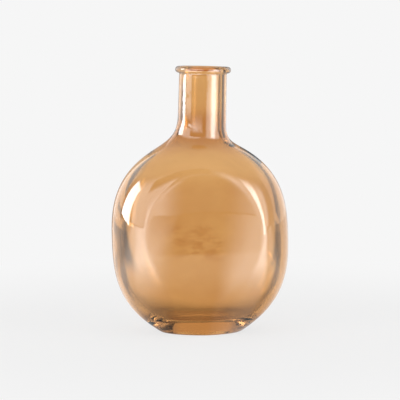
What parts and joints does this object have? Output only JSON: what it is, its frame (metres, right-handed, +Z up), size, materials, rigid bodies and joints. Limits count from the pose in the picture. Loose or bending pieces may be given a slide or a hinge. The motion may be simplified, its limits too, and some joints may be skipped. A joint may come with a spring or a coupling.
{
  "type": "bottle vase",
  "caption": "Clear amber glass bottle vase with a body flattened front to back, a short round neck and a rolled lip, standing on a small oblong foot.",
  "frame": {"origin": "on the floor under the middle of the body", "axes": "+Z up; the round faces look along -Y (front) and +Y (back); +X is to the right of the front face, the way the neck leans"},
  "size_m": [0.1839, 0.11, 0.276],
  "materials": {
    "amber_glass": "clear amber glass, smooth and glossy, slightly wavy"
  },
  "bodies": {
    "root": {"glass_bottle": "amber_glass"}
  },
  "joints": []
}
